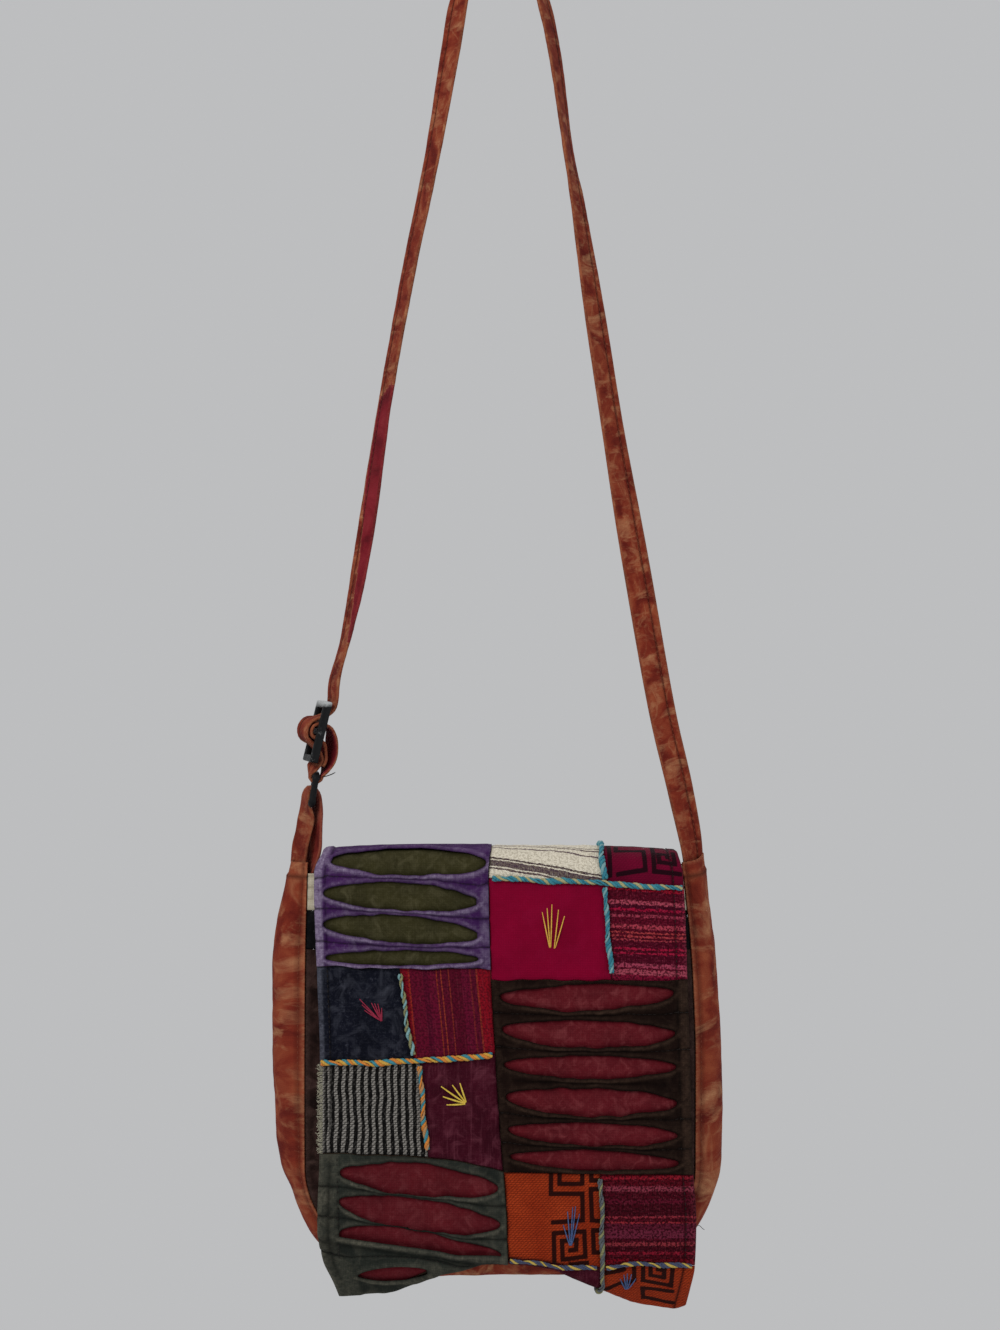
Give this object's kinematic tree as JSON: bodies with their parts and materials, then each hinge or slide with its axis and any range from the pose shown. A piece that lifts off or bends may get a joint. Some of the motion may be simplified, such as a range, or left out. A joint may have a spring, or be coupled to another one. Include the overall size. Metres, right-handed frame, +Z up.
{
  "type": "patchwork crossbody bag",
  "caption": "Cloth crossbody bag with a patchwork front flap, swelling side gusset and a long adjustable shoulder strap, hanging from its strap.",
  "frame": {"origin": "underside of the strap's top, where the bag hangs", "axes": "+Z up, +X to the right as seen from the front, -Y out of the front of the flap"},
  "size_m": [0.327, 0.0836, 0.9659],
  "materials": {
    "rust_canvas": "stonewashed cotton canvas, faded at the folds",
    "brown_canvas": "stonewashed cotton canvas",
    "cream_cotton": "plain ribbed cotton",
    "flap_cloth": "plain cotton backing",
    "purple_cotton": "slit cotton, lips worn pale",
    "cream_stripe": "loose hand weave with thin stripes",
    "magenta_fret": "printed cotton, black fret",
    "magenta_cotton": "plain cotton",
    "pink_weave": "cross-striped hand weave",
    "navy_cotton": "worn plain cotton",
    "red_stripe": "striped hand weave",
    "grey_stripe": "striped herringbone weave",
    "plum_cotton": "worn plain cotton",
    "brown_cotton": "slit cotton, rolled lips",
    "green_cotton": "slit cotton, rolled lips",
    "orange_fret": "printed twill, black fret",
    "wine_weave": "cross-striped hand weave",
    "olive_cotton": "plain cotton",
    "maroon_cotton": "worn plain cotton",
    "red_cotton": "worn plain cotton",
    "teal_cord": "two-ply twisted cotton cord",
    "grey_cord": "two-ply twisted cotton cord",
    "orange_cord": "two-ply twisted cotton cord",
    "blue_cord": "two-ply twisted cotton cord",
    "black_zip": "woven tape with moulded teeth",
    "black_plastic": "moulded, glossy",
    "black_metal": "black painted wire"
  },
  "bodies": {
    "root": {"flap_base": "flap_cloth", "patch_purple_slits": "purple_cotton", "patch_cream_stripe": "cream_stripe", "patch_magenta_fret": "magenta_fret", "patch_magenta": "magenta_cotton", "patch_pink_weave": "pink_weave", "patch_navy": "navy_cotton", "patch_red_stripe": "red_stripe", "patch_grey_stripe": "grey_stripe", "patch_plum": "plum_cotton", "patch_brown_slits": "brown_cotton", "patch_green_slits": "green_cotton", "patch_orange_fret": "orange_fret", "patch_wine_weave": "wine_weave", "hem_plum": "plum_cotton", "hem_orange_fret": "orange_fret", "underlay_olive": "olive_cotton", "underlay_maroon": "maroon_cotton", "underlay_red": "red_cotton", "cord_cream_fret": "teal_cord", "cord_first_row": "teal_cord", "cord_magenta_pink": "teal_cord", "cord_navy_red": "grey_cord", "cord_second_row": "orange_cord", "cord_grey_plum": "orange_cord", "cord_orange_wine": "blue_cord", "cord_fold_left": "blue_cord", "cord_fold_right": "blue_cord", "front_panel": "brown_canvas", "front_top_band": "cream_cotton", "zip": "black_zip", "back_panel": "rust_canvas", "gusset": "rust_canvas", "strap": "rust_canvas", "ring_tab": "rust_canvas", "slider": "black_plastic", "ring": "black_metal"}
  },
  "joints": []
}
